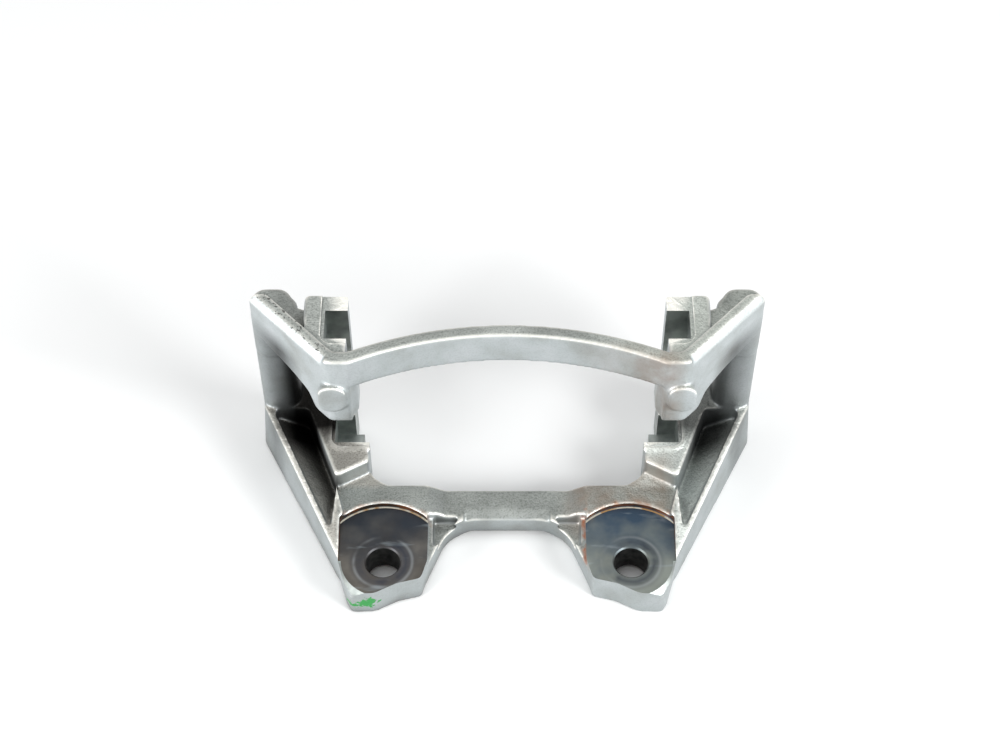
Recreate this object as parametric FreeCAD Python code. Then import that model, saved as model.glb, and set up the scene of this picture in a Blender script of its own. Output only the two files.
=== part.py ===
"""Front brake caliper bracket, cast in one piece.

Frame: origin midway between the two mounting holes, on the machined mounting face.
+X runs across the bracket, +Y away from the wheel hub, +Z towards the wheel (outboard).
The bracket is modelled as its right half and mirrored in the plane X = 0.
All sizes are in millimetres.
"""
import FreeCAD, Part
import math
import os

V = FreeCAD.Vector

# Mounting lugs; the toe is the part of the lug that reaches towards the hub
hole_spacing = 103.0
hole_diameter = 14.2
lug_thickness = 15.0
lug_outer_reach = 18.3
lug_inner_reach = 18.2
lug_toe_reach = 15.6
lug_flare = 1.2
spotface_radius = 26.5
plateau_height = 3.0
bolt_seat_diameter = 20.0
bolt_seat_depth = 1.5
toe_chamfer_drop = 4.5
toe_chamfer_width = 6.0
toe_chamfer_turn = 40.0
toe_half_width = 12.8
spotface_lift = 1.0

# Web between the lugs
opening_edge = 36.6
web_front = 22.3
web_top = -1.0
web_bottom = -13.5
web_draft = 1.7
web_chamfer_depth = 4.6
web_chamfer_drop = 2.0
arch_inset = 10.0
arch_toe_lean = 0.41
arch_corner_radius = 16.0
arch_rim = 1.9
pocket_depth = 5.0
pocket_inset = 2.2
pocket_reach = 3.4
pocket_lean = 1.3
ramp_length = 7.5

# Rotor gap, pads and the slots that carry them
pad_slot_start = 53.3
pad_slot_width = 14.4
pad_slot_reach = 73.4
slot_relief_depth = 1.2
slot_relief_margin = 3.4
slot_relief_side = 1.4
slot_relief_radius = 5.0
inboard_face = 12.0
rotor_gap = 37.0

# Inboard abutments and arms
inboard_opening = 117.0
slot_floor = -2.8
slot_floor_step = 3.4
far_shoulder_step = 6.9
abutment_end = 80.0
channel_floor = -3.0
channel_tilt = 33.0
rim_width = 3.0
rim_drop = 9.0
rim_level_length = 12.0
channel_end = 16.0
block_corner_x = 2.2
block_lean = 0.374
arm_draft = 2.2
arm_foot_out = 1.6
cast_radius = 1.5

# Slide pin bosses
pin_spacing = 194.0
pin_centre = 79.3
pin_bore = 10.2
pin_bore_depth = 62.0
pin_bore_chamfer = 1.0
boss_width = 16.4
boss_front = 8.7
boss_head_inner = 11.0
boss_head_outer = 8.1
boss_head_top = 72.5
boss_head_depth = 14.6
boss_round = 6.0
bridge_thickness = 10.0

# Outboard frame: blocks, legs, limbs and tie bar
outboard_opening = 128.6
block_width = 17.8
block_top = 83.0
block_end = 75.0
frame_top = 85.5
tie_front_end = 38.0
tie_rise = 13.9
tie_thickness = 5.9
tie_height = 16.5
leg_width = 16.5
leg_inset = 1.4
bend_inset = 7.5
leg_bottom = 46.8
limb_thickness = 6.2
limb_height = 21.6
limb_root_height = 27.5
limb_chamfer = 3.0
limb_angle = 46.5
limb_end = 73.8
leg_flare = 3.8
pad_boss_width = 11.5
pad_boss_height = 15.7
pad_boss_proud = 2.2
pad_boss_centre = 63.6

back = -lug_thickness
hole_x = hole_spacing / 2
channel_start = opening_edge - 2.0
pin_x = pin_spacing / 2
lug_out = hole_x + lug_outer_reach
lug_in = hole_x - lug_inner_reach
arch_half = lug_in - arch_inset
outboard_face = inboard_face + rotor_gap
inboard_in = inboard_opening / 2
outboard_in = outboard_opening / 2
slot_end = pad_slot_start + pad_slot_width
block_out = outboard_in + block_width
boss_out = pin_x + boss_width / 2
head_out = pin_x + boss_head_outer
tie_end = outboard_in - leg_inset
leg_out = tie_end + leg_width
limb_start = leg_out - bend_inset
REACH = 400.0


def outline(points, z):
    """Closed wire at height z; a third value on a point rounds its corner."""
    edges = []
    count = len(points)
    ends = []
    for i, point in enumerate(points):
        here = V(point[0], point[1], z)
        radius = point[2] if len(point) > 2 else 0.0
        if radius == 0.0:
            ends.append((here, here, None))
            continue
        before = V(points[i - 1][0], points[i - 1][1], z)
        after = V(points[(i + 1) % count][0], points[(i + 1) % count][1], z)
        a = (before - here).normalize()
        b = (after - here).normalize()
        half = a.getAngle(b) / 2
        run = radius / math.tan(half)
        middle = (a + b).normalize() * (radius / math.sin(half) - radius)
        ends.append((here + a * run, here + b * run, here + middle))
    for i, (start, end, middle) in enumerate(ends):
        if middle is not None:
            edges.append(Part.Arc(start, middle, end).toShape())
        following = ends[(i + 1) % count][0]
        if end.distanceToPoint(following) > 1e-6:
            edges.append(Part.makeLine(end, following))
    return Part.Wire(edges)


def prism(points, low, high):
    """Upright prism on a plan outline, between two heights."""
    return Part.Face(outline(points, low)).extrude(V(0, 0, high - low))


def drafted(low_points, high_points, low, high):
    """Solid that changes from one plan outline to another between two heights."""
    return Part.makeLoft([outline(low_points, low), outline(high_points, high)], True, True)


def front_prism(points, near, far):
    """Prism on an outline of (x, z) points, running along Y."""
    solid = prism(points, -far, -near)
    solid.rotate(V(0, 0, 0), V(1, 0, 0), 90)
    return solid


def box(x0, x1, y0, y1, z0, z1):
    return Part.makeBox(x1 - x0, y1 - y0, z1 - z0, V(x0, y0, z0))


def round_top(solid, height, radius):
    """Round the edges that lie flat at a given height."""
    edges = []
    for edge in solid.Edges:
        bounds = edge.BoundBox
        if abs(bounds.ZMin - height) < 1e-4 and abs(bounds.ZMax - height) < 1e-4:
            edges.append(edge)
    return solid.makeFillet(radius, edges)


def mirrored(solid):
    return solid.mirror(V(0, 0, 0), V(1, 0, 0))


def arm_outer(y, inset=0.0):
    """X of the arm's outer wall, at its foot, for a given Y and moved inwards by an inset."""
    start = V(lug_out + lug_flare, 1.0, 0)
    end = V(boss_out + arm_foot_out, pin_centre - boss_front + 0.9, 0)
    slope = (end.x - start.x) / (end.y - start.y)
    return start.x + slope * (y - start.y) - inset / math.cos(math.atan(slope))


def arm_inner(y):
    """X of the edge where the abutment block meets the channel, at a given Y."""
    return lug_out + block_corner_x + block_lean * (y - channel_start)


def arch_side(y, lead=0.0):
    """X of the arch's flank below its rounded corner, at a given Y."""
    return arch_half + lead + arch_toe_lean * (web_front - y)


def lug():
    """One mounting lug with its toe, up to the cast land above the mounting face."""
    toe_inner = arch_side(-lug_toe_reach * 0.5)
    plan = [
        (lug_in, web_front, 0),
        (lug_in, 1.0, 8),
        (toe_inner, -lug_toe_reach * 0.5, 2.5),
        (hole_x - 6.0, -lug_toe_reach * 0.66, 6),
        (hole_x + 3.0, -lug_toe_reach * 0.96, 5),
        (hole_x + toe_half_width, -lug_toe_reach, 3),
        (hole_x + toe_half_width + 2.4, -lug_toe_reach + 4.0, 4),
        (lug_out, -1.0, 6),
        (lug_out + lug_flare, opening_edge, 0),
        (lug_in, opening_edge, 0),
    ]
    return prism(plan, back, plateau_height)


def spotface():
    """Sweep of the cutter that faces the lug round the mounting hole."""
    sweep = Part.makeCylinder(spotface_radius, REACH, V(hole_x, spotface_lift, 0))
    return sweep.common(box(lug_in - 1.5, lug_out + 0.4, -REACH, REACH, -1, REACH))


def toe_chamfer():
    """Wedge that slopes the outer lower corner of the toe down from the machined face."""
    corner = V(hole_x + 5.5, -lug_toe_reach, 0)
    reach = 14.0
    wedge = box(-reach, 2 * reach, -reach, 0, 0, reach)
    tilt = math.degrees(math.atan2(toe_chamfer_drop, toe_chamfer_width))
    wedge.rotate(V(0, 0, 0), V(1, 0, 0), tilt)
    wedge.rotate(V(0, 0, 0), V(0, 0, 1), toe_chamfer_turn)
    wedge.translate(corner)
    return wedge


def web():
    """Half of the web that joins the lugs; its arched front leans back towards the foot."""
    def plan(front, lead):
        toe = -lug_toe_reach * 0.4
        return [
            (0, front, 0),
            (arch_side(web_front, lead), front, arch_corner_radius),
            (arch_side(toe, lead), toe, 0),
            (lug_in + 4.0, toe, 0),
            (lug_in + 4.0, opening_edge, 0),
            (0, opening_edge, 0),
        ]
    body = drafted(plan(web_front + web_draft, web_draft * 0.4), plan(web_front, 0.0), back, web_top)
    under = [
        (-1, back - 1),
        (arch_half, back - 1),
        (arch_half - 8.0, web_bottom),
        (-1, web_bottom),
    ]
    return body.cut([front_prism(under, -REACH, REACH), web_chamfer()])


def web_chamfer():
    """Sloping face along the web's upper front edge."""
    low = web_top - web_chamfer_drop
    section = [
        V(-1, web_front - 5, low - 5 * web_chamfer_drop / web_chamfer_depth),
        V(-1, web_front + web_chamfer_depth, web_top),
        V(-1, web_front + web_chamfer_depth, web_top + 5),
        V(-1, web_front - 5, web_top + 5),
    ]
    face = Part.Face(Part.makePolygon(section + section[:1]))
    return face.extrude(V(arch_half - 4.0, 0, 0))


def web_pocket():
    """Three-cornered pocket between the arched rim and the lug."""
    right = lug_in - pocket_inset
    top = web_front + 0.8
    start = arch_half - pocket_reach
    plan = [
        (right, top, 1.0),
        (start, top, 1.0),
        (right, top - (right - start) * pocket_lean - arch_rim, 1.0),
    ]
    return prism(plan, web_top - pocket_depth, plateau_height + 5)


def plateau():
    """Cast land that runs from the lug to the inboard abutment, with its ramp to the web."""
    ramp = [
        (lug_in - ramp_length, web_top),
        (lug_in, plateau_height),
        (lug_out + 2.0, plateau_height),
        (lug_out + 2.0, back),
        (lug_in - ramp_length, back),
    ]
    body = front_prism(ramp, web_front, abutment_end)
    plan = [
        (lug_in - ramp_length, web_front, 0),
        (lug_out + 2.0, web_front, 0),
        (lug_out + 2.0, abutment_end, 0),
        (inboard_in, abutment_end, 0),
        (inboard_in, opening_edge + 5.0, 9),
        (inboard_in - 8.0, opening_edge, 8),
        (lug_in - ramp_length, opening_edge, 0),
    ]
    return body.common(prism(plan, back, plateau_height))


def abutment_block():
    """Inboard abutment block with the edge that borders the channel."""
    near = opening_edge - 1.5
    far = pin_centre + 1.0
    plan = [
        (inboard_in, opening_edge + 6.4, 2),
        (arm_inner(near), near, 2),
        (arm_inner(far), far, 0),
        (arm_inner(far) - 3, abutment_end + 2, 0),
        (inboard_in, abutment_end, 3),
    ]
    return round_top(prism(plan, back, inboard_face), inboard_face, cast_radius)


def inboard_slot():
    """Pad slot of the inboard abutment: it has a floor, and its far shoulder stands back."""
    outside = inboard_in - 5
    slot = box(outside, pad_slot_reach, pad_slot_start, slot_end, slot_floor, REACH)
    under = box(outside, inboard_in + slot_floor_step, pad_slot_start, slot_end, back - 1, 0)
    shoulder = box(outside, inboard_in + far_shoulder_step, slot_end, REACH, back - 1, REACH)
    return slot.fuse([under, shoulder])


def arm():
    """Arm from the lug to the slide pin boss, with a falling top and a drafted outer wall."""
    def plan(draft):
        corner = V(boss_out + arm_foot_out - draft, pin_centre - boss_front + 0.9, 0)
        rear = pin_centre + boss_width / 2
        return [
            (lug_out - 1.0, 0.0, 0),
            (arm_outer(0.0) - draft / 2, 0.0, 0),
            (corner.x, corner.y, 4),
            (boss_out, rear, boss_round),
            (pin_x - boss_width / 2, rear, boss_round),
            (arm_inner(pin_centre) - 6, pin_centre, 0),
            (arm_inner(opening_edge), opening_edge, 0),
            (lug_out - 1.0, web_front, 0),
        ]
    body = drafted(plan(0.0), plan(arm_draft), back, inboard_face)
    low = inboard_face - rim_drop - 1.0
    fall = [
        V(0, -REACH / 4, low),
        V(0, 2.0, low),
        V(0, pin_centre - rim_level_length, inboard_face),
        V(0, pin_centre - rim_level_length, REACH),
        V(0, -REACH / 4, REACH),
    ]
    cutter = Part.Face(Part.makePolygon(fall + fall[:1]))
    return body.cut(cutter.extrude(V(REACH, 0, 0)))


def channel():
    """Hollow between the abutment block and the outer rim; its floor rises outwards."""
    far = pin_centre - boss_front
    near = channel_end
    middle = channel_start
    plan = [
        (arm_inner(middle), middle, 0),
        (arm_inner(far), far, 2.5),
        (arm_outer(far, rim_width + arm_draft * 0.8), far, 2.5),
        (arm_outer(near, rim_width), near, 0),
        (arm_outer(near, rim_width) - 1.5, near, 0),
    ]
    body = prism(plan, back + 4, inboard_face + 10)
    foot = V(arm_inner(middle), middle, channel_floor)
    heading = math.degrees(math.atan2(1.0, block_lean))
    floor = box(-REACH / 2, REACH / 2, -REACH / 2, REACH / 2, -REACH / 2, 0)
    floor.rotate(V(0, 0, 0), V(1, 0, 0), -channel_tilt)
    floor.rotate(V(0, 0, 0), V(0, 0, 1), heading)
    floor.translate(foot)
    return body.cut(floor)


def boss():
    """Slide pin boss: a rounded column with a larger head behind the limb."""
    half = boss_width / 2
    column = prism([
        (pin_x - half, pin_centre - boss_front, boss_round),
        (pin_x + half, pin_centre - boss_front, boss_round),
        (pin_x + half, pin_centre + half, boss_round),
        (pin_x - half, pin_centre + half, boss_round),
    ], back, boss_head_top)
    front = pin_centre - boss_front - 1.0
    head = prism([
        (pin_x - boss_head_inner, front, boss_round),
        (head_out, front, boss_round),
        (head_out, front + boss_head_depth, boss_round),
        (pin_x - boss_head_inner, front + boss_head_depth, boss_round),
    ], outboard_face, boss_head_top)
    return column.fuse(round_top(head, boss_head_top, cast_radius * 1.4))


def bridge():
    """Wall that ties the boss head to the outboard block, clear of the rotor."""
    plan = [
        (block_out - 4.0, block_end - bridge_thickness, 0),
        (pin_x, pin_centre - boss_front, 0),
        (pin_x, pin_centre + 2.0, 0),
        (block_out - 4.0, block_end - 0.5, 0),
    ]
    return prism(plan, outboard_face, boss_head_top)


def outboard_block():
    """Outboard abutment block that carries the pad slot."""
    plan = [
        (outboard_in, tie_front_end + 2.0, 0),
        (block_out - 2.5, tie_front_end + 10.0, 0),
        (block_out, block_end - 12.0, 0),
        (block_out, block_end, 1.5),
        (outboard_in, block_end, 1.5),
    ]
    body = prism(plan, leg_bottom, block_top)
    face = [
        (outboard_in, leg_bottom, 1.5),
        (leg_out - 1.0, leg_bottom, 3),
        (leg_out, leg_bottom + 8.0, 4),
        (block_out, leg_bottom + 12.0, 3),
        (block_out, block_top, cast_radius),
        (outboard_in, block_top, 0),
    ]
    return body.common(front_prism(face, -REACH, REACH))


def frame_path(offset):
    """Bend and end of the outboard wall in plan, at an offset behind its front face."""
    angle = math.radians(limb_angle)
    bend = V(limb_start - offset * math.tan(angle / 2), tie_front_end + offset, 0)
    run = (limb_end - bend.y) / math.tan(angle)
    return bend, V(bend.x + run, limb_end, 0)


def tie_bar():
    """Arched tie bar that joins the two legs."""
    radius = (tie_end ** 2 + tie_rise ** 2) / (2 * tie_rise)
    centre = V(0, tie_front_end + tie_rise - radius, frame_top - tie_height)
    ring = Part.makeCylinder(radius + tie_thickness, tie_height, centre)
    ring = ring.cut(Part.makeCylinder(radius, tie_height, centre))
    side = tie_end + 0.5
    window = box(-side, side, tie_front_end - 2, REACH, 0, frame_top)
    return ring.common(window)


def frame_wall():
    """Leg and limb: a wall bent in plan, cut to its height along its length."""
    front_bend, front_end = frame_path(0)
    rear_bend, rear_end = frame_path(limb_thickness)
    wall = prism([
        (tie_end, tie_front_end, 0),
        (front_bend.x, front_bend.y, 5),
        (front_end.x, front_end.y, 1.0),
        (rear_end.x, rear_end.y, 1.5),
        (rear_bend.x, rear_bend.y, 5),
        (tie_end, tie_front_end + limb_thickness, 0),
    ], leg_bottom, frame_top)
    under = [
        (leg_out - 1.0, leg_bottom - 1),
        (leg_out - 1.0, leg_bottom, 3),
        (leg_out + 1.6, leg_bottom + 7.5, 5),
        (leg_out + 7.5, frame_top - limb_root_height, 8),
        (head_out + 1, frame_top - limb_height),
        (head_out + 1, leg_bottom - 1),
    ]
    return wall.cut(front_prism(under, -REACH, REACH))


def leg_fin():
    """Lower inner flank of the leg, which flares inwards to the pad slot."""
    plan = [
        (tie_end + 1.0, tie_front_end, 0),
        (outboard_in - leg_flare, tie_front_end + leg_flare * 1.6, 1.5),
        (outboard_in - leg_flare, pad_slot_start, 0),
        (outboard_in + 3.0, pad_slot_start, 0),
        (outboard_in + 3.0, tie_front_end, 0),
    ]
    return prism(plan, leg_bottom, frame_top - tie_height + 1.0)


def limb_bevel():
    """Bevel along the limb's upper front edge."""
    start, end = frame_path(0)
    angle = math.radians(limb_angle)
    along = V(math.cos(angle), math.sin(angle), 0)
    normal = V(-math.sin(angle), math.cos(angle), 0)
    depth = limb_chamfer * 0.87
    drop = limb_chamfer * 1.17
    section = [
        normal * depth,
        V(0, 0, -drop),
        normal * -3 + V(0, 0, -drop),
        normal * -3 + V(0, 0, 3),
        normal * depth + V(0, 0, 3),
    ]
    base = V(start.x, start.y, frame_top) + along * 2.0
    points = [base + p for p in section]
    face = Part.Face(Part.makePolygon(points + points[:1]))
    return face.extrude(along * (end.distanceToPoint(start) + 10))


def pad_boss():
    """Oblong clamping pad that stands proud of the leg."""
    half = pad_boss_width / 2
    x = (outboard_in + leg_out - 3.2) / 2
    z0 = pad_boss_centre - pad_boss_height / 2
    z1 = pad_boss_centre + pad_boss_height / 2
    face = [
        (x - half, z0, half - 0.5),
        (x + half, z0, half - 0.5),
        (x + half, z1, half - 0.5),
        (x - half, z1, half - 0.5),
    ]
    return front_prism(face, tie_front_end - pad_boss_proud, tie_front_end + 2)


def slot_relief(inner, top):
    """Shallow relief that is milled round the mouth of a pad slot."""
    side = pad_slot_reach + slot_relief_side
    near = pad_slot_start - slot_relief_margin
    plan = [
        (inner, near, 0),
        (side, near, slot_relief_radius),
        (side, REACH / 2, 0),
        (inner, REACH / 2, 0),
    ]
    return prism(plan, top - slot_relief_depth, top + 5)


def right_half():
    """Right half of the casting with its milled faces, without the tie bar."""
    inboard = lug().fuse([web(), plateau(), abutment_block(), arm()])
    inboard = inboard.cut([channel(), web_pocket(), inboard_slot(), slot_relief(inboard_in - 10, inboard_face)])
    limb = frame_wall().cut(limb_bevel())
    slot = box(inboard_in - 10, pad_slot_reach, pad_slot_start, slot_end, leg_bottom - 1, REACH)
    outboard = outboard_block().cut([slot, slot_relief(inboard_in - 10, block_top)])
    outboard = outboard.fuse([bridge(), limb, leg_fin(), pad_boss()])
    body = inboard.fuse([boss(), outboard])
    return body.cut([toe_chamfer(), spotface()])


def drillings():
    """Mounting holes, bolt seats and slide pin bores of the right half."""
    tools = []
    tools.append(Part.makeCylinder(hole_diameter / 2, lug_thickness + 20, V(hole_x, 0, back - 5)))
    tools.append(Part.makeCylinder(bolt_seat_diameter / 2, bolt_seat_depth + 5, V(hole_x, 0, back - 5)))
    tools.append(Part.makeCylinder(pin_bore / 2, pin_bore_depth, V(pin_x, pin_centre, back)))
    tools.append(Part.makeCone(pin_bore / 2 + pin_bore_chamfer + 0.5, pin_bore / 2 - 0.5,
                               pin_bore_chamfer + 1.0, V(pin_x, pin_centre, back - 0.5), V(0, 0, 1)))
    return tools


def bracket():
    """The whole casting: both halves and the tie bar between them."""
    half = right_half().cut(drillings())
    return half.fuse([mirrored(half), tie_bar()]).removeSplitter()


if __name__ == "__main__":
    os.makedirs("parts", exist_ok=True)
    shape = bracket()
    print("solids", len(shape.Solids), "volume", round(shape.Volume / 1000, 1), "cm3", shape.isValid())
    bounds = shape.BoundBox
    print("box", bounds)
    shape.exportStep("parts/caliper_bracket.step")
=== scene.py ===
# %% [markdown]
# # Dressing a cast brake caliper bracket
# The imported CAD part is loaded first and stays where it is. Everything below is made
# around it, in metres, in the same frame: X across the part, Y away from the wheel hub,
# Z up out of the machined mounting faces. The box of the CAD part is kept.

# %% Load the frame
import math
from types import SimpleNamespace

import bmesh
import bpy
from mathutils import Matrix, Vector


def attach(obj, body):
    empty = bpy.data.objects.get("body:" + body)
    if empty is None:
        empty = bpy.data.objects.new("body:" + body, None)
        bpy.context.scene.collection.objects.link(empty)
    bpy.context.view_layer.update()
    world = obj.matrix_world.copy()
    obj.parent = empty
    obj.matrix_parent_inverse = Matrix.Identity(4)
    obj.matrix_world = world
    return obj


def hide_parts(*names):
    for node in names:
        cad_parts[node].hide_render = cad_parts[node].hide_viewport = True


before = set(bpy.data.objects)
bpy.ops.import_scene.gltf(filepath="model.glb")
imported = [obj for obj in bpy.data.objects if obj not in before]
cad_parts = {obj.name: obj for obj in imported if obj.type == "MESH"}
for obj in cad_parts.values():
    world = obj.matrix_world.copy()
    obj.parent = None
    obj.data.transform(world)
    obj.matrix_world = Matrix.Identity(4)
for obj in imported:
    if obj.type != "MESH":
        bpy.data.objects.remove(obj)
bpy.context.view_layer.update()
casting_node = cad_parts["caliper_bracket"]
print("loaded", casting_node.name, "with", len(casting_node.data.polygons), "faces")

# %% [markdown]
# ## Real sizes
# The sizes that the milling cutters need are the same named sizes as in the CAD source.
# They are in millimetres, because that is how such a part is drawn.

# %% Sizes of the machined features, in millimetres
MM = 0.001  # metres in a millimetre
hole_x = 51.5
hole_radius = 7.1
hole_chamfer = 0.6
back = -15.0
bolt_seat_radius = 10.0
bolt_seat_depth = 1.5
spotface_centre = (51.5, 1.0)
spotface_radius = 26.5
toe_radius = 17.5
lug_in, lug_out = 33.3, 69.8
slot_start, slot_end, slot_reach, slot_floor = 53.3, 67.7, 73.4, -2.8
inboard_in, inboard_top = 58.5, 12.0
shoulder_in, slot_foot_in = 65.4, 61.9
outboard_in, outboard_bottom, outboard_top = 64.3, 46.8, 83.0
relief_depth, relief_near, relief_side, relief_corner = 1.2, 49.9, 74.8, 5.0
pin_x, pin_y, pin_radius, pin_depth = 97.0, 79.3, 5.1, 62.0
print("mounting holes", 2 * hole_x, "mm apart, slide pins", 2 * pin_x, "mm apart")


# %% [markdown]
# ## Colour and node helpers
# Colours are written as sRGB hex, as a paint program shows them. Shaders work in linear
# light, so one function turns them round. A second one adds a node with its settings and
# links; every tree below is built with it.

# %% Helpers for colours and nodes
def linear(hex_colour):
    """Linear RGBA from an sRGB hex colour."""
    values = []
    for i in (1, 3, 5):
        c = int(hex_colour[i:i + 2], 16) / 255
        values.append(c / 12.92 if c <= 0.04045 else ((c + 0.055) / 1.055) ** 2.4)
    return (*values, 1.0)


def add_node(tree, kind, inputs=None, **settings):
    """Adds a node. An input's value is a node or a socket to link, a hex colour, or a number."""
    node = tree.nodes.new(kind)
    for name, value in settings.items():
        setattr(node, name, value)
    for key, value in (inputs or {}).items():
        if isinstance(value, bpy.types.Node):
            value = next(socket for socket in value.outputs if socket.enabled)
        if isinstance(value, bpy.types.NodeSocket):
            tree.links.new(value, node.inputs[key])
        elif isinstance(value, str):
            node.inputs[key].default_value = linear(value)
        else:
            node.inputs[key].default_value = value
    return node


def new_material(name):
    """An empty node material with its output node."""
    material = bpy.data.materials.new(name)
    material.use_nodes = True
    material.node_tree.nodes.clear()
    return material, material.node_tree


print("mid grey in linear light:", [round(v, 3) for v in linear("#808080")[:3]])


# %% [markdown]
# ## The casting's skin
# The real part is poured in sand and shot-blasted, so every edge that no cutter touched is
# soft. CAD edges are knife-sharp. Three ways could soften them: a bevel on each edge, which
# breaks on the triangles of an imported model; sculpting; or remeshing the shape into small
# even cells and relaxing them, as the blasting does. The last follows the CAD part by
# itself, so it is used here. The places that are milled later are first filled up with
# stock, as the real casting has it, so the cutters can leave crisp edges.

# %% Outline and prism helpers
def rounded(points, steps=6):
    """Outline of (x, y, corner radius) points, with its corners turned into short arcs."""
    result = []
    count = len(points)
    for i, (x, y, radius) in enumerate(points):
        here = Vector((x, y))
        if radius == 0:
            result.append(here)
            continue
        a = (Vector(points[i - 1][:2]) - here).normalized()
        b = (Vector(points[(i + 1) % count][:2]) - here).normalized()
        half = a.angle(b) / 2
        centre = here + (a + b).normalized() * radius / math.sin(half)
        start = here + a * radius / math.tan(half) - centre
        turn = start.angle_signed(here + b * radius / math.tan(half) - centre)
        for k in range(steps + 1):
            result.append(centre + Matrix.Rotation(-turn * k / steps, 2) @ start)
    return result


def add_prism(mesh, outline, low, high):
    """Adds a closed prism on an (x, y) outline in millimetres."""
    bottom = [mesh.verts.new((p[0] * MM, p[1] * MM, low * MM)) for p in outline]
    top = [mesh.verts.new((p[0] * MM, p[1] * MM, high * MM)) for p in outline]
    mesh.faces.new(bottom[::-1])
    mesh.faces.new(top)
    for i in range(len(outline)):
        j = (i + 1) % len(outline)
        mesh.faces.new((bottom[i], bottom[j], top[j], top[i]))


def add_disc(mesh, x, y, radius, low, high, radius_high=None, steps=96):
    """Adds a closed cylinder or cone that stands on Z."""
    turns = [2 * math.pi * k / steps for k in range(steps)]
    ring = [(math.cos(turn), math.sin(turn)) for turn in turns]
    upper = radius if radius_high is None else radius_high
    bottom = [mesh.verts.new(((x + radius * c) * MM, (y + radius * s) * MM, low * MM)) for c, s in ring]
    top = [mesh.verts.new(((x + upper * c) * MM, (y + upper * s) * MM, high * MM)) for c, s in ring]
    mesh.faces.new(bottom[::-1])
    mesh.faces.new(top)
    for i in range(steps):
        j = (i + 1) % steps
        mesh.faces.new((bottom[i], bottom[j], top[j], top[i]))


def add_block(mesh, x0, x1, y0, y1, z0, z1):
    """Adds a box between two corners."""
    add_prism(mesh, [(x0, y0), (x1, y0), (x1, y1), (x0, y1)], z0, z1)


def both_sides(mesh):
    """Mirrors what is in the mesh to the other side of X = 0."""
    source = mesh.verts[:] + mesh.edges[:] + mesh.faces[:]
    bmesh.ops.mirror(mesh, geom=source, axis="X", merge_dist=-1)
    bmesh.ops.recalc_face_normals(mesh, faces=mesh.faces)


def as_object(mesh, name, material=None):
    """Turns a finished mesh into an object in the scene."""
    data = bpy.data.meshes.new(name)
    mesh.to_mesh(data)
    mesh.free()
    obj = bpy.data.objects.new(name, data)
    bpy.context.scene.collection.objects.link(obj)
    if material:
        data.materials.append(material)
    return obj


print("helpers ready")

# %% [markdown]
# ## Stock for the milling
# A foundry leaves a little more metal where a cutter will work, so that the cutter finds
# sound iron everywhere. The copy of the CAD part gets the same: its lug faces are lifted,
# and the holes, slots and toe corners are filled up. The solids may run into each other,
# because the next step turns them into one skin.

# %% Copy of the CAD part with its lug faces lifted
milling_stock = 1.4
rough = bmesh.new()
rough.from_mesh(casting_node.data)
bmesh.ops.remove_doubles(rough, verts=rough.verts, dist=0.01 * MM)
lug_face = [vert for vert in rough.verts
            if abs(vert.co.x) > 31 * MM and vert.co.y < 28 * MM and abs(vert.co.z) < 0.02 * MM]
for vert in lug_face:
    vert.co.z += milling_stock * MM
print("lifted", len(lug_face), "corners of the lug faces by", milling_stock, "mm")

# %% Stock in the holes
stock = bmesh.new()
add_disc(stock, hole_x, 0, hole_radius + 1.2, back, milling_stock, steps=48)
add_disc(stock, hole_x, 0, bolt_seat_radius + 0.6, back, back + bolt_seat_depth + 0.6, steps=48)
add_disc(stock, pin_x, pin_y, pin_radius + 0.8, back, back + pin_depth + 1, steps=48)
print("stock in three kinds of hole")

# %% Stock in the pad slots
slot_side = slot_reach + 1.6
add_block(stock, inboard_in, slot_side, relief_near - 0.4, slot_end + 0.6, back, inboard_top)
add_block(stock, shoulder_in, slot_side, slot_end - 1, 80, back, inboard_top)
add_block(stock, outboard_in, slot_side, relief_near - 0.4, 75, outboard_bottom, outboard_top)
print("stock in the slots, out to", slot_side, "mm")

# %% [markdown]
# The photograph shows a low cast bead that runs round each inboard slot with a rounded
# corner. It is an L in plan, and the relief is cut along its inner edge later.

# %% Bead round the inboard slot
bead_width = 1.6
bead_height = 0.9
overlap = 0.2
bead = [
    (inboard_in - 0.4, relief_near - bead_width, 0),
    (relief_side + bead_width, relief_near - bead_width, relief_corner + bead_width),
    (relief_side + bead_width, slot_end + 2, 0),
    (relief_side - overlap, slot_end + 2, 0),
    (relief_side - overlap, relief_near + overlap, relief_corner),
    (inboard_in - 0.4, relief_near + overlap, 0),
]
add_prism(stock, rounded(bead), inboard_top - 2, inboard_top + bead_height)
print("bead", bead_width, "mm wide and", bead_height, "mm high")

# %% Stock on the toe corner, and the whole rough casting
toe_corner = [(54, -12), (56, -14.8), (63.2, -15.2), (64.5, -14.0),
              (66.2, -10.8), (69.2, -1.5), (68, 2), (60, -2)]
add_prism(stock, toe_corner, -6, milling_stock)
both_sides(stock)
stock_mesh = bpy.data.meshes.new("stock")
stock.to_mesh(stock_mesh)
stock.free()
rough.from_mesh(stock_mesh)
bpy.data.meshes.remove(stock_mesh)
casting = as_object(rough, "casting")
print("rough casting has", len(casting.data.polygons), "faces")

# %% [markdown]
# ## Relaxed skin
# The remesh needs one closed skin, and it welds the stock to the casting by itself. The
# relaxing step follows a rule all over the surface, so it is a small Geometry Nodes tree:
# it blurs the position of each point with its neighbours', a set number of passes, which
# rounds outer edges and fills inner corners alike, as sand and shot do.

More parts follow.
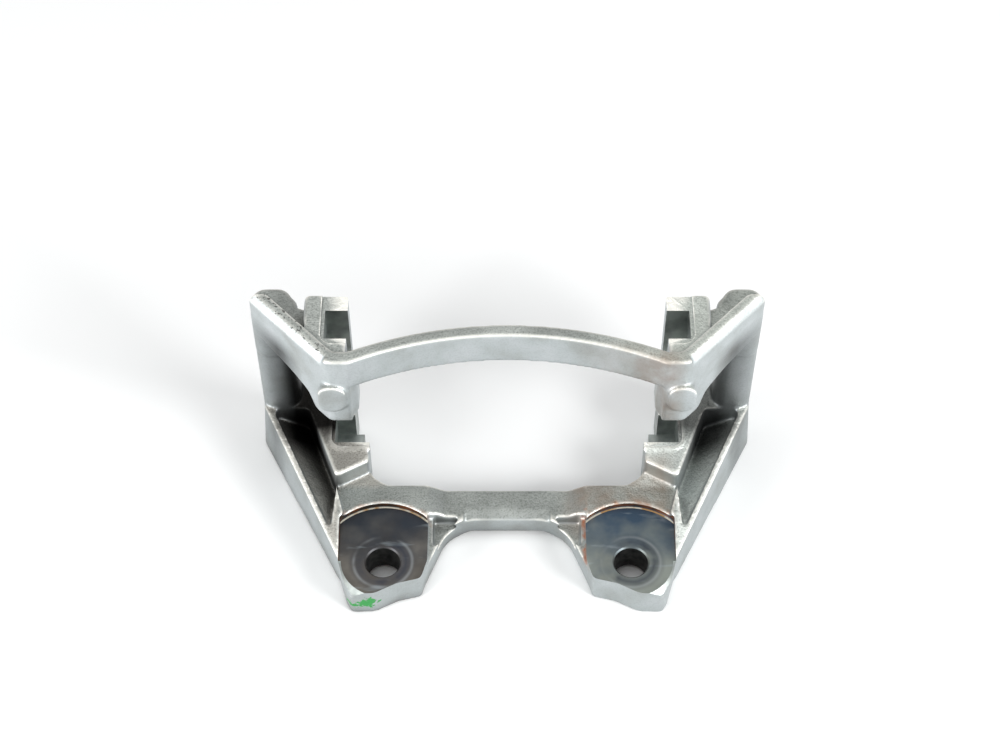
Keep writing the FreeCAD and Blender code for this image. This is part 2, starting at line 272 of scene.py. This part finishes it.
# %% Geometry Nodes tree for the relaxed skin
def skin_tree(material):
    """Geometry Nodes tree that relaxes a remeshed skin and gives it its material."""
    tree = bpy.data.node_groups.new("relaxed casting skin", "GeometryNodeTree")
    tree.interface.new_socket("Geometry", in_out="INPUT", socket_type="NodeSocketGeometry")
    tree.interface.new_socket("Blend passes", in_out="INPUT", socket_type="NodeSocketInt")
    tree.interface.new_socket("Geometry", in_out="OUTPUT", socket_type="NodeSocketGeometry")
    source = add_node(tree, "NodeGroupInput")
    place = add_node(tree, "GeometryNodeInputPosition")
    passes = source.outputs["Blend passes"]
    blur = add_node(tree, "GeometryNodeBlurAttribute", data_type="FLOAT_VECTOR",
                    inputs={"Value": place, "Iterations": passes, "Weight": 1.0})
    moved = add_node(tree, "GeometryNodeSetPosition",
                     inputs={"Geometry": source.outputs["Geometry"], "Position": blur})
    smooth = add_node(tree, "GeometryNodeSetShadeSmooth", inputs={"Geometry": moved})
    real = add_node(tree, "GeometryNodeRealizeInstances", inputs={"Geometry": smooth})
    painted = add_node(tree, "GeometryNodeSetMaterial", inputs={"Geometry": real, "Material": material})
    add_node(tree, "NodeGroupOutput", inputs={"Geometry": painted})
    return tree


as_cast, cast_tree = new_material("ductile_iron_shot_blasted")
relaxed_skin = skin_tree(as_cast)
print("skin tree has", len(relaxed_skin.nodes), "nodes")


# %% Helpers for modifiers
def set_input(modifier, name, value):
    """Sets a modifier's input by its socket's identifier."""
    for item in modifier.node_group.interface.items_tree:
        if item.in_out == "INPUT" and item.name == name:
            modifier[item.identifier] = value


def baked(obj):
    """Replaces an object's mesh by what its modifiers make of it."""
    graph = bpy.context.evaluated_depsgraph_get()
    mesh = bpy.data.meshes.new_from_object(obj.evaluated_get(graph))
    obj.modifiers.clear()
    old = obj.data
    obj.data = mesh
    bpy.data.meshes.remove(old)


print("modifier helpers ready")

# %% Even cells
cell = 0.6
remesh = casting.modifiers.new("cells", "REMESH")
remesh.mode = "VOXEL"
remesh.voxel_size = cell * MM
remesh.use_smooth_shade = True
baked(casting)
cells = len(casting.data.polygons)
print(cells, "cells of", cell, "mm")

# %% [markdown]
# Four passes round an edge to a radius of about a millimetre, as on the photograph. The
# flats don't need such small faces, so a Decimate modifier then thins them.

# %% Relax the skin and thin its flats
blend_passes = 4
most_triangles = 165000
relax = casting.modifiers.new("relax", "NODES")
relax.node_group = relaxed_skin
set_input(relax, "Blend passes", blend_passes)
baked(casting)
thin = casting.modifiers.new("fewer faces on the flats", "DECIMATE")
thin.ratio = min(1.0, most_triangles / (2 * cells))
baked(casting)
print("thinned to", len(casting.data.polygons), "triangles")

# %% [markdown]
# ## Milling
# A real bracket goes from the foundry to a milling fixture: a cutter faces each lug, a
# broach or end mill cuts the four pad slots, and drills make the holes. The same is done
# here with boolean cuts, one tool shape at a time, so the machined faces end in crisp edges
# where they run out into the soft casting. Each cutter carries the finish that it leaves.

# %% One cut
milled, milled_tree = new_material("ductile_iron_face_milled")
broached, broached_tree = new_material("ductile_iron_broached_slot")
drilled, drilled_tree = new_material("ductile_iron_drilled_bore")


def cut_with(mesh, name, material):
    """Cuts the casting with a closed cutter shape, and leaves that cutter's finish."""
    both_sides(mesh)
    cutter = as_object(mesh, name, material)
    if material.name not in casting.data.materials:
        casting.data.materials.append(material)
    cut = casting.modifiers.new(name, "BOOLEAN")
    cut.operation = "DIFFERENCE"
    cut.solver = "EXACT"
    cut.material_mode = "TRANSFER"
    cut.object = cutter
    baked(casting)
    bpy.data.objects.remove(cutter)
    print(name, "cut,", len(casting.data.polygons), "faces")


clear_above = 30.0
clear_of_frame = 100.0
slot_mouth = 50.0
print("finishes ready:", milled.name, broached.name, drilled.name)


# %% [markdown]
# A cutter with a profile that is swept round or stacked up is a row of rings of points,
# with faces between each ring and the next. The face mill has a small corner radius, which
# is why a bright line runs along the foot of the wall that it leaves.

# %% Skin over a row of rings
def skin_over(mesh, rings):
    """Closed skin over rings with equal numbers of points, in millimetres."""
    rows = [[mesh.verts.new([size * MM for size in point]) for point in ring] for ring in rings]
    for before, after in zip(rows, rows[1:]):
        for i in range(len(before)):
            j = (i + 1) % len(before)
            mesh.faces.new((before[i], before[j], after[j], after[i]))
    mesh.faces.new(rows[0][::-1])
    mesh.faces.new(rows[-1])


print("rings become closed skins")


# %% Face the lugs
def facing_circle(radius, level):
    """Sweep of the facing cutter in plan, stopped at the lug's two sides."""
    points = []
    for k in range(180):
        angle = 2 * math.pi * k / 180
        x = spotface_centre[0] + radius * math.cos(angle)
        y = spotface_centre[1] + radius * math.sin(angle)
        points.append((min(max(x, lug_in - 1.5), lug_out + 0.4), y, level))
    return points


tool_corner = 0.7
facing = bmesh.new()
skin_over(facing, [
    facing_circle(spotface_radius - tool_corner, 0),
    facing_circle(spotface_radius - 0.3 * tool_corner, 0.3 * tool_corner),
    facing_circle(spotface_radius, tool_corner),
    facing_circle(spotface_radius, clear_above),
])
cut_with(facing, "lug facing", milled)

# %% Pad slots and their stepped feet and shoulders
slots = bmesh.new()
add_block(slots, slot_mouth, slot_reach, slot_start, slot_end, slot_floor, clear_above)
add_block(slots, slot_mouth, slot_reach, slot_start, slot_end, outboard_bottom - 3, clear_of_frame)
cut_with(slots, "pad slots", broached)

feet = bmesh.new()
add_block(feet, slot_mouth, slot_foot_in, slot_start, slot_end, back - 2, slot_floor + 1)
cut_with(feet, "slot feet", broached)

shoulders = bmesh.new()
add_block(shoulders, slot_mouth, shoulder_in, slot_end - 0.5, 90, back - 2, clear_above)
cut_with(shoulders, "far shoulders", broached)

# %% Reliefs round the slots
relief = [
    (slot_mouth, relief_near, 0),
    (relief_side, relief_near, relief_corner),
    (relief_side, clear_of_frame, 0),
    (slot_mouth, clear_of_frame, 0),
]
reliefs = bmesh.new()
add_prism(reliefs, rounded(relief), inboard_top - relief_depth, clear_above)
add_prism(reliefs, rounded(relief), outboard_top - relief_depth, clear_of_frame)
cut_with(reliefs, "slot reliefs", as_cast)

# %% [markdown]
# The outer corner of each toe is chamfered round the bolt, as a cone and not as a flat, so
# the machined face ends there in an arc. The cutter is a profile swept round the facing's
# centre over the toe's side alone.

# %% Toe chamfers
toe_slope = 0.75
toe_overcut = 0.5
toe_depth = 6.75
first_angle, last_angle, toe_steps = -88, -2, 60
toe_start = toe_radius - toe_overcut / toe_slope
toe_profile = [
    (toe_start, 5),
    (toe_start, toe_overcut),
    (toe_radius + toe_depth / toe_slope, -toe_depth),
    (toe_radius + 14, -toe_depth),
    (toe_radius + 14, 5),
]
toe_rings = []
for k in range(toe_steps + 1):
    angle = math.radians(first_angle + (last_angle - first_angle) * k / toe_steps)
    across, along = math.cos(angle), math.sin(angle)
    toe_rings.append([(spotface_centre[0] + r * across, spotface_centre[1] + r * along, z)
                      for r, z in toe_profile])
toes = bmesh.new()
skin_over(toes, toe_rings)
cut_with(toes, "toe chamfers", broached)

# %% Drill the holes
drills = bmesh.new()
add_disc(drills, hole_x, 0, hole_radius, back - 3, 10)
add_disc(drills, pin_x, pin_y, pin_radius, back - 3, back + pin_depth)
cut_with(drills, "drilled holes", drilled)

sinks = bmesh.new()
add_disc(sinks, hole_x, 0, hole_radius - 0.2, -hole_chamfer - 0.2, 0.6, hole_radius + hole_chamfer + 0.6)
add_disc(sinks, hole_x, 0, bolt_seat_radius, back - 3, back + bolt_seat_depth)
add_disc(sinks, pin_x, pin_y, pin_radius + 2.4, back - 1.4, back + 1.6, pin_radius - 0.6)
cut_with(sinks, "countersinks", milled)

# %% [markdown]
# Smooth shading would let the big flat of a milled face lean towards the small rounding at
# its foot, and draw fans of light on it. So edges above 32 degrees are sharp, and so is
# every edge round a milled flat.

# %% Sharp edges, and the casting takes the CAD part's place
casting.data.set_sharp_from_angle(angle=math.radians(32))
flat_edges = set()
for face in casting.data.polygons:
    if abs(face.normal.z) > 0.9999 and casting.data.materials[face.material_index] == milled:
        flat_edges.update(face.edge_keys)
for edge in casting.data.edges:
    if edge.key in flat_edges:
        edge.use_edge_sharp = True
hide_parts("caliper_bracket")
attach(casting, "root")
print("casting done:", sum(len(p.vertices) - 2 for p in casting.data.polygons), "triangles")


# %% [markdown]
# ## Masks and layers
# Every finish below is a base colour with layers over it, and each layer is held to a part
# of the casting by a mask. A mask is a few steps multiplied: each step goes from 0 to 1
# while a value passes from one size to another. Positions are turned to millimetres first,
# so that the steps and the pattern sizes read like a drawing.

# %% Where a shaded point lies
def where_on_part(tree):
    """Sockets for a shaded point's place in millimetres, and the way that it faces."""
    metres = add_node(tree, "ShaderNodeTexCoord").outputs["Object"]
    place = add_node(tree, "ShaderNodeVectorMath", operation="SCALE", inputs={0: metres, "Scale": 1 / MM})
    split = add_node(tree, "ShaderNodeSeparateXYZ", inputs={0: place})
    across = add_node(tree, "ShaderNodeMath", operation="ABSOLUTE", inputs={0: split.outputs["X"]})
    geometry = add_node(tree, "ShaderNodeNewGeometry")
    facing = add_node(tree, "ShaderNodeSeparateXYZ", inputs={0: geometry.outputs["Normal"]})
    return SimpleNamespace(
        place=place, x=split.outputs["X"], y=split.outputs["Y"], z=split.outputs["Z"], across=across,
        up=facing.outputs["Z"], edge=geometry.outputs["Pointiness"])


print("positions come in millimetres")


# %% Masks from steps, layers and shades
def mask(tree, *steps, strength=1.0):
    """Full where every (value, empty at, full at) step has been passed."""
    result = strength
    for value, empty, full in steps:
        step = add_node(tree, "ShaderNodeMapRange",
                        inputs={"Value": value, "From Min": empty, "From Max": full})
        result = add_node(tree, "ShaderNodeMath", operation="MULTIPLY", inputs={0: step, 1: result})
    return result


def layer(tree, under, over, *masks):
    """Lays one colour over another where all the masks are full."""
    amount = masks[0]
    for other in masks[1:]:
        amount = add_node(tree, "ShaderNodeMath", operation="MULTIPLY", inputs={0: amount, 1: other})
    return add_node(tree, "ShaderNodeMix", data_type="RGBA", inputs={0: amount, 6: under, 7: over})


def shades(tree, value, first, *others):
    """Colour that goes through (position, hex colour) shades as a value grows."""
    position, colour = first
    for next_position, next_colour in others:
        colour = layer(tree, colour, next_colour, mask(tree, (value, position, next_position)))
        position = next_position
    return colour


def apart(tree, value, size):
    """How far a value is from a size, either way."""
    gap = add_node(tree, "ShaderNodeMath", operation="SUBTRACT", inputs={0: value, 1: size})
    return add_node(tree, "ShaderNodeMath", operation="ABSOLUTE", inputs={0: gap})


print("mask and layer helpers ready")


# %% [markdown]
# ## Shot-blasted ductile iron
# Blasted iron is a bare grey metal whose surface is dimpled by the shot. The light breaks
# up on the dimples, so it looks matt. It is one metal, so metallic is 1 and its colour is
# its reflection. Faces that the shot hits from above are rougher, with a fine
# salt-and-pepper grain. The real grain is about 0.3 mm, too fine for the picture, so it is
# drawn 0.75 mm wide. Broad soft patches vary the grey. Painted shade makes the tops darker
# than the sides, and the left tops darker than the right. Painted light makes the arm tops
# paler, most on the right. Painted shade darkens the skin towards the bottom.

# %% Grey of the casting, with painted light and shade
def grey_with_painted_light(tree, at, grain, facing_up, right):
    """Blasted skin greys with painted light and shade: pale sides and arm tops, dark bottom."""
    patches = add_node(tree, "ShaderNodeTexNoise",
                       inputs={"Vector": at.place, "Scale": 1 / 15, "Detail": 3.0})
    # Painted light and shade: sides paler than tops, left tops darker than right tops.
    sides = shades(tree, patches, (0.3, "#A9ADAC"), (0.5, "#B7BDBE"), (0.72, "#C2C7C9"))
    left_tops_shaded = shades(tree, patches, (0.3, "#8E928E"), (0.5, "#9CA09C"), (0.72, "#ABAFAB"))
    right_tops_lit = shades(tree, patches, (0.3, "#9CA19C"), (0.5, "#AEB3AD"), (0.72, "#C0C5BF"))
    tops = layer(tree, left_tops_shaded, right_tops_lit, mask(tree, (at.x, 20, 70)))
    grey = layer(tree, sides, tops, facing_up)
    # Painted light: the up-facing arm tops are painted paler, most on the right.
    beyond_lug = add_node(tree, "ShaderNodeMath", operation="MAXIMUM",
                          inputs={0: mask(tree, (at.across, 70, 72)), 1: mask(tree, (at.y, 34, 37))})
    arm_tops_lit = mask(tree, (at.z, 20, 15), (at.across, 50, 56), strength=0.85)
    arm_painted_light = layer(tree, "#BDB9B1", "#F2F7F2", right)
    grey = layer(tree, grey, arm_painted_light, arm_tops_lit, facing_up, beyond_lug)
    # Painted shade: the skin is painted darker towards the bottom.
    grey = layer(tree, grey, "#6A6E6C", mask(tree, (at.z, 60, 12), strength=0.2))
    amount = add_node(tree, "ShaderNodeMapRange", inputs={"Value": facing_up, "To Min": 0.1, "To Max": 0.34})
    specks = shades(tree, grain, (0.34, "#5E625F"), (0.52, "#FFFFFF"))
    return add_node(tree, "ShaderNodeMix", data_type="RGBA", blend_type="MULTIPLY",
                    inputs={0: amount, 6: grey, 7: specks})


print("bare grey described")


# %% [markdown]
# The channels and the hollows behind the limbs are painted dark as painted shade, more on
# the left side than on the right. The Ambient Occlusion node tells how closed in a point
# is. Edges that stand up and face up are painted bright, as wear from handling and as
# painted highlight, and Pointiness finds them.

# %% Painted shade in the hollows, bright worn and highlighted edges
def shade_and_worn_highlights(tree, at, colour, right):
    """Painted shade in the hollows, and bright wear with painted highlight on edges facing up."""
    near, wide = [add_node(tree, "ShaderNodeAmbientOcclusion", samples=8, inputs={"Distance": reach * MM})
                  for reach in (16, 50)]
    shade_side = add_node(tree, "ShaderNodeMapRange", inputs={
        "Value": at.x, "From Min": -25, "From Max": 25, "To Min": 1.0, "To Max": 0.1})
    # Brown painted shade in the tight corners, strongest on the left.
    corners = mask(tree, (near.outputs["AO"], 0.75, 0.1), strength=0.8)
    colour = layer(tree, colour, "#3A332C", corners, shade_side)
    # Edges that face up are painted bright: wear, and painted highlight.
    worn_and_highlit = mask(tree, (at.edge, 0.508, 0.54), (at.up, 0.1, 0.4), strength=0.9)
    colour = layer(tree, colour, "#F2F1EA", worn_and_highlit)
    # Near-black painted shade deep in the hollows, strongest on the left.
    deep_shade = mask(tree, (wide.outputs["AO"], 0.42, 0.1), strength=0.85)
    colour = layer(tree, colour, "#171412", deep_shade, shade_side)
    # A near-black painted shadow behind each limb, a little lighter on the right.
    shadow_behind_limb = mask(tree, (at.across, 108, 91), (at.across, 68, 73), (at.y, 50, 61), (at.z, 76, 66))
    shadow_share = add_node(tree, "ShaderNodeMapRange", inputs={"Value": right, "To Min": 0.98, "To Max": 0.8})
    return layer(tree, colour, "#0F0E0D", shadow_behind_limb, shadow_share)


print("soot and wear described")


# %% [markdown]
# Bare iron rusts first where it was cut last. Rust sits in blotches along the wall of the
# facing, in a strip down the inner side of the right lug, and as a brown film on the land
# above it. The photograph shows less of it on the left lug.

# %% Rust round the lugs
def rusted(tree, at, colour, right):
    """Rust where the cast skin meets the milled lug faces."""
    noise = add_node(tree, "ShaderNodeTexNoise", inputs={"Vector": at.place, "Scale": 1 / 4, "Detail": 3.0})
    blotches = mask(tree, (noise, 0.42, 0.62))
    at_face = mask(tree, (apart(tree, at.z, 1.5), 4, 2), (at.across, 70, 69))
    plan = add_node(tree, "ShaderNodeCombineXYZ", inputs={0: at.across, 1: at.y})
    reach = add_node(tree, "ShaderNodeVectorMath", operation="DISTANCE",
                     inputs={0: plan, 1: (*spotface_centre, 0)})
    ring = mask(tree, (apart(tree, reach, spotface_radius + 0.4), 1.8, 0))
    share = add_node(tree, "ShaderNodeMapRange", inputs={"Value": right, "To Min": 0.4, "To Max": 0.8})
    colour = layer(tree, colour, "#9C6440", ring, blotches, at_face, share)
    film = add_node(tree, "ShaderNodeTexNoise", inputs={"Vector": at.place, "Scale": 1 / 9, "Detail": 3.0})
    film = add_node(tree, "ShaderNodeMapRange", inputs={
        "Value": film, "From Min": 0.3, "From Max": 0.6, "To Min": 0.15, "To Max": 0.55})
    land = mask(tree, (at.y, 12, 24), (at.y, 50, 40), (at.across, 72, 66), (at.x, 20, 32))
    colour = layer(tree, colour, "#8D7867", land, film)
    strip = mask(tree, (apart(tree, at.x, 32.4), 1.8, 0), (at.y, 30, 26), strength=0.85)
    return layer(tree, colour, "#A8623C", strip, at_face, blotches)


print("rust described")


# %% [markdown]
# Two small marks finish the skin. Black specks of burnt sand sit along the front edge of
# the left limb's top. A dab of green inspection paint on the left toe is a round lobe with
# a thinner one beside it, and noise added to the distance from them makes its edge ragged.

# %% Burnt sand and the paint dab
def burnt_sand(tree, at, colour, right):
    """Black specks on the edges of the limbs' tops."""
    noise = add_node(tree, "ShaderNodeTexNoise", inputs={"Vector": at.place, "Scale": 1 / 1.3, "Detail": 3.0})
    specks = mask(tree, (at.z, 84.6, 85), (at.across, 70, 74), (at.edge, 0.503, 0.512), (noise, 0.58, 0.64),
                  strength=0.9)
    share = add_node(tree, "ShaderNodeMapRange", inputs={"Value": right, "To Min": 0.9, "To Max": 0.1})
    return layer(tree, colour, "#20201F", specks, share)


paint_lobes = [
    ((-57.6, -15.5, -7.2), (4.3, 5.0, 3.7)),
    ((-63.6, -14.6, -9.0), (3.8, 5.0, 1.7)),
]


def paint_mask(tree, at):
    """Mask of the paint dab, from lobes given by a centre and three half sizes."""
    lengths = []
    for centre, half in paint_lobes:
        lobe = add_node(tree, "ShaderNodeMapping", inputs={
            "Vector": at.place, "Location": [-c / r for c, r in zip(centre, half)],
            "Scale": [1 / r for r in half]})
        lengths.append(add_node(tree, "ShaderNodeVectorMath", operation="LENGTH", inputs={0: lobe}))
    nearest = add_node(tree, "ShaderNodeMath", operation="MINIMUM", inputs={0: lengths[0], 1: lengths[1]})
    noise = add_node(tree, "ShaderNodeTexNoise", inputs={"Vector": at.place, "Scale": 1 / 1.9, "Detail": 3.0})
    ragged = add_node(tree, "ShaderNodeMath", operation="MULTIPLY_ADD", inputs={0: noise, 1: 2.8, 2: nearest})
    return mask(tree, (ragged, 2.35, 2.15), strength=0.97)


print("marks described,", len(paint_lobes), "lobes of paint")


# %% Cast finish
def build_cast(tree):
    """Blasted iron with its painted light and shade, wear, rust, specks and paint."""
    at = where_on_part(tree)
    facing_up = mask(tree, (at.up, 0.6, 0.95))
    right = mask(tree, (at.x, -20, 20))
    grain = add_node(tree, "ShaderNodeTexNoise",
                     inputs={"Vector": at.place, "Scale": 1 / 0.75, "Detail": 2.0})
    colour = grey_with_painted_light(tree, at, grain, facing_up, right)
    colour = shade_and_worn_highlights(tree, at, colour, right)
    colour = rusted(tree, at, colour, right)
    colour = burnt_sand(tree, at, colour, right)
    paint = paint_mask(tree, at)
    colour = layer(tree, colour, "#07832D", paint)
    metal = add_node(tree, "ShaderNodeMath", operation="SUBTRACT", inputs={0: 1.0, 1: paint})
    dimples = add_node(tree, "ShaderNodeTexNoise",
                       inputs={"Vector": at.place, "Scale": 1 / 2.2, "Detail": 3.0})
    height = add_node(tree, "ShaderNodeMath", operation="MULTIPLY_ADD", inputs={0: dimples, 1: 1.5, 2: grain})
    depth = add_node(tree, "ShaderNodeMapRange", inputs={"Value": facing_up, "To Min": 0.25, "To Max": 0.85})
    bump = add_node(tree, "ShaderNodeBump",
                    inputs={"Height": height, "Strength": depth, "Distance": 0.3 * MM})
    shader = add_node(tree, "ShaderNodeBsdfPrincipled", inputs={
        "Base Color": colour, "Metallic": metal, "Roughness": 0.5, "Normal": bump})
    add_node(tree, "ShaderNodeOutputMaterial", inputs={"Surface": shader})


build_cast(cast_tree)
print("cast finish has", len(cast_tree.nodes), "nodes")


# %% [markdown]
# ## Milled faces
# A face mill leaves a flat, darker steel grey than the blasted skin, because it mirrors
# more of the dark room. The heat of the cut tints it blue away from the toe and round the
# hole, and thin smears of coolant lie across it. The foot of the wall and the wall itself
# show gold and brown, where the coolant dried.

# %% Tints of a milled face
def milled_tints(tree, at, cloud):
    """Greys, heat tints, coolant smears and the marks round the hole."""
    right = mask(tree, (at.x, -1, 1))
    left_grey = shades(tree, cloud, (0.35, "#45413D"), (0.65, "#6B6863"))
    right_grey = shades(tree, cloud, (0.3, "#6E726D"), (0.7, "#8A908A"))
    colour = layer(tree, left_grey, right_grey, right)
    drift = add_node(tree, "ShaderNodeTexNoise", inputs={"Vector": at.place, "Scale": 1 / 13, "Detail": 3.0})
    from_toe = add_node(tree, "ShaderNodeMath", operation="MULTIPLY_ADD", inputs={0: drift, 1: 44.0, 2: at.y})
    heat_tint = layer(tree, "#343A42", "#35495E", right)
    colour = layer(tree, colour, heat_tint, mask(tree, (from_toe, 18, 46), strength=0.9))
    drawn_out = add_node(tree, "ShaderNodeMapping", inputs={"Vector": at.place, "Scale": (0.25, 1.0, 1.0)})
    smears = add_node(tree, "ShaderNodeTexNoise", inputs={"Vector": drawn_out, "Scale": 1 / 5, "Detail": 3.0})
    colour = layer(tree, colour, "#9FAAB0", mask(tree, (smears, 0.6, 0.72), strength=0.4))
    marks = mask(tree, (cloud, 0.4, 0.55))
    for radius, width, shade, strength in ((9.6, 5.0, "#2B303C", 0.75), (12.2, 1.0, "#A9AEB0", 0.3)):
        ring = mask(tree, (apart(tree, from_hole(tree, at), radius), width, 0), strength=strength)
        colour = layer(tree, colour, shade, ring, marks)
    return colour


def from_hole(tree, at):
    """Distance from the centre of the nearer mounting hole."""
    folded = add_node(tree, "ShaderNodeCombineXYZ", inputs={0: at.across, 1: at.y, 2: at.z})
    return add_node(tree, "ShaderNodeVectorMath", operation="DISTANCE", inputs={0: folded, 1: (hole_x, 0, 0)})


print("tints described")


# %% Milled finish
def build_milled(tree):
    """Face milled iron with its tints, its gilt foot and its faint tool arcs."""
    at = where_on_part(tree)
    cloud = add_node(tree, "ShaderNodeTexNoise", inputs={"Vector": at.place, "Scale": 1 / 18, "Detail": 3.0})
    colour = milled_tints(tree, at, cloud)
    gilding = add_node(tree, "ShaderNodeTexNoise", inputs={"Vector": at.place, "Scale": 1 / 9, "Detail": 3.0})
    gilt = shades(tree, gilding, (0.48, "#A8A498"), (0.56, "#8F7350"))
    foot = mask(tree, (at.up, 0.3, 0.35), (at.up, 0.99, 0.97), (from_hole(tree, at), 19, 21))
    colour = layer(tree, colour, gilt, foot)
    browning = add_node(tree, "ShaderNodeTexNoise",
                        inputs={"Vector": at.place, "Scale": 1 / 5, "Detail": 3.0})
    brown = shades(tree, browning, (0.4, "#55483A"), (0.6, "#A9683A"))
    colour = layer(tree, colour, brown, mask(tree, (at.up, 0.3, 0.1), strength=0.85))
    rough = add_node(tree, "ShaderNodeMapRange", inputs={"Value": cloud, "To Min": 0.38, "To Max": 0.56})
    arcs = add_node(tree, "ShaderNodeTexWave", wave_type="RINGS", rings_direction="Z",
                    inputs={"Vector": at.place, "Scale": 0.4, "Distortion": 0.6})
    bump = add_node(tree, "ShaderNodeBump", inputs={
        "Height": arcs.outputs["Fac"], "Strength": 0.06, "Distance": 0.05 * MM})
    shader = add_node(tree, "ShaderNodeBsdfPrincipled", inputs={
        "Base Color": colour, "Metallic": 1.0, "Roughness": rough, "Normal": bump})
    add_node(tree, "ShaderNodeOutputMaterial", inputs={"Surface": shader})


build_milled(milled_tree)
print("milled finish has", len(milled_tree.nodes), "nodes")


# %% [markdown]
# ## Slots and bores
# The broached slots are an even, finely scratched grey. The bores are drilled and see
# little light, so their walls are painted dark as painted shade. Both are the same iron, so
# only colour, roughness and a fine bump differ. The scratches are drawn 0.5 mm apart.

# %% Broached and drilled finishes
def build_broached(tree):
    """Finely scratched grey of the pad slots and the toe chamfers."""
    at = where_on_part(tree)
    cloud = add_node(tree, "ShaderNodeTexNoise", inputs={"Vector": at.place, "Scale": 1 / 8, "Detail": 3.0})
    colour = shades(tree, cloud, (0.35, "#7E8381"), (0.65, "#A6ACA9"))
    scratches = add_node(tree, "ShaderNodeTexNoise",
                         inputs={"Vector": at.place, "Scale": 1 / 0.5, "Detail": 2.0})
    bump = add_node(tree, "ShaderNodeBump", inputs={
        "Height": scratches, "Strength": 0.15, "Distance": 0.1 * MM})
    shader = add_node(tree, "ShaderNodeBsdfPrincipled", inputs={
        "Base Color": colour, "Metallic": 1.0, "Roughness": 0.4, "Normal": bump})
    add_node(tree, "ShaderNodeOutputMaterial", inputs={"Surface": shader})


def build_drilled(tree):
    """Wall of the drilled bores, painted dark as painted shade."""
    at = where_on_part(tree)
    bore_shade = add_node(tree, "ShaderNodeTexNoise", inputs={"Vector": at.place, "Scale": 1 / 3, "Detail": 3.0})
    # Two dark greys painted on the bore wall as painted shade.
    colour = shades(tree, bore_shade, (0.35, "#2A2B2B"), (0.65, "#4A4B49"))
    shader = add_node(tree, "ShaderNodeBsdfPrincipled", inputs={
        "Base Color": colour, "Metallic": 1.0, "Roughness": 0.55})
    add_node(tree, "ShaderNodeOutputMaterial", inputs={"Surface": shader})


build_broached(broached_tree)
build_drilled(drilled_tree)
print("slot finish has", len(broached_tree.nodes), "nodes, bore finish", len(drilled_tree.nodes))

# %% [markdown]
# ## Floor, light and camera
# The part lies on its flat back on a pale floor, as in a catalogue. Matt card takes a soft
# shadow and mirrors nothing.

# %% Floor
floor_mesh = bmesh.new()
bmesh.ops.create_grid(floor_mesh, x_segments=1, y_segments=1, size=4.0)
floor_mesh.transform(Matrix.Translation((0, 0, (back - 0.05) * MM)))
card, card_tree = new_material("matt_white_card")
white = add_node(card_tree, "ShaderNodeBsdfPrincipled", inputs={"Base Color": "#F6F7F7", "Roughness": 0.9})
add_node(card_tree, "ShaderNodeOutputMaterial", inputs={"Surface": white})
floor = as_object(floor_mesh, "floor", card)
print("floor just under", back, "mm")

# %% [markdown]
# The world is bright to the camera and in reflections, so the backdrop is white and the
# metal has something to mirror. As light on the floor and in the shadows it is dimmer, and
# the Light Path node tells one from the other.

# %% World
world = bpy.data.worlds.new("studio")
bpy.context.scene.world = world
world.use_nodes = True
sky = world.node_tree
sky.nodes.clear()
path = add_node(sky, "ShaderNodeLightPath")
seen = path.outputs["Is Camera Ray"]
for kind in ("Is Glossy Ray", "Is Transmission Ray"):
    seen = add_node(sky, "ShaderNodeMath", operation="MAXIMUM", inputs={0: seen, 1: path.outputs[kind]})
level = add_node(sky, "ShaderNodeMapRange", inputs={"Value": seen, "To Min": 0.4, "To Max": 0.85})
shine = add_node(sky, "ShaderNodeBackground", inputs={"Color": "#FFFFFF", "Strength": level})
add_node(sky, "ShaderNodeOutputWorld", inputs={"Surface": shine})
print("world level 0.4 as light, 0.85 as seen")


# %% [markdown]
# Two low lamps at the front sides make the faces that look at the hub the brightest. The
# right one stands higher, and a weak one overhead fills the tops.

# %% Lamps
def soft_lamp(name, place, size, power):
    """Square area lamp that looks at the middle of the part."""
    data = bpy.data.lights.new(name, "AREA")
    data.size = size
    data.energy = power
    lamp = bpy.data.objects.new(name, data)
    bpy.context.scene.collection.objects.link(lamp)
    lamp.location = place
    towards_part = Vector((0, 0.04, 0.03)) - lamp.location
    lamp.rotation_euler = towards_part.to_track_quat("-Z", "Y").to_euler()


lamps = [
    ("left lamp", (-1.3, -0.8, 0.42), 0.7, 22),
    ("right lamp", (1.2, -0.7, 0.75), 0.7, 24),
    ("top lamp", (-0.2, 0.3, 1.8), 1.0, 8),
]
for name, place, size, power in lamps:
    soft_lamp(name, place, size, power)
print(len(lamps), "lamps")

# %% [markdown]
# The camera was worked out from the photograph: the circles of the two holes and the edges
# of the lug faces give its height and tilt, and its distance follows from the hole spacing.

# %% Camera
camera_data = bpy.data.cameras.new("camera")
camera_data.sensor_width = 36
camera_data.lens = 72
camera = bpy.data.objects.new("camera", camera_data)
bpy.context.scene.collection.objects.link(camera)
camera.location = (-2.9 * MM, -443.7 * MM, 705.7 * MM)
camera.rotation_euler = (math.radians(37.5), 0, 0)
bpy.context.scene.camera = camera
bpy.context.scene.view_settings.view_transform = "Standard"
print("camera at", [round(v, 3) for v in camera.location])
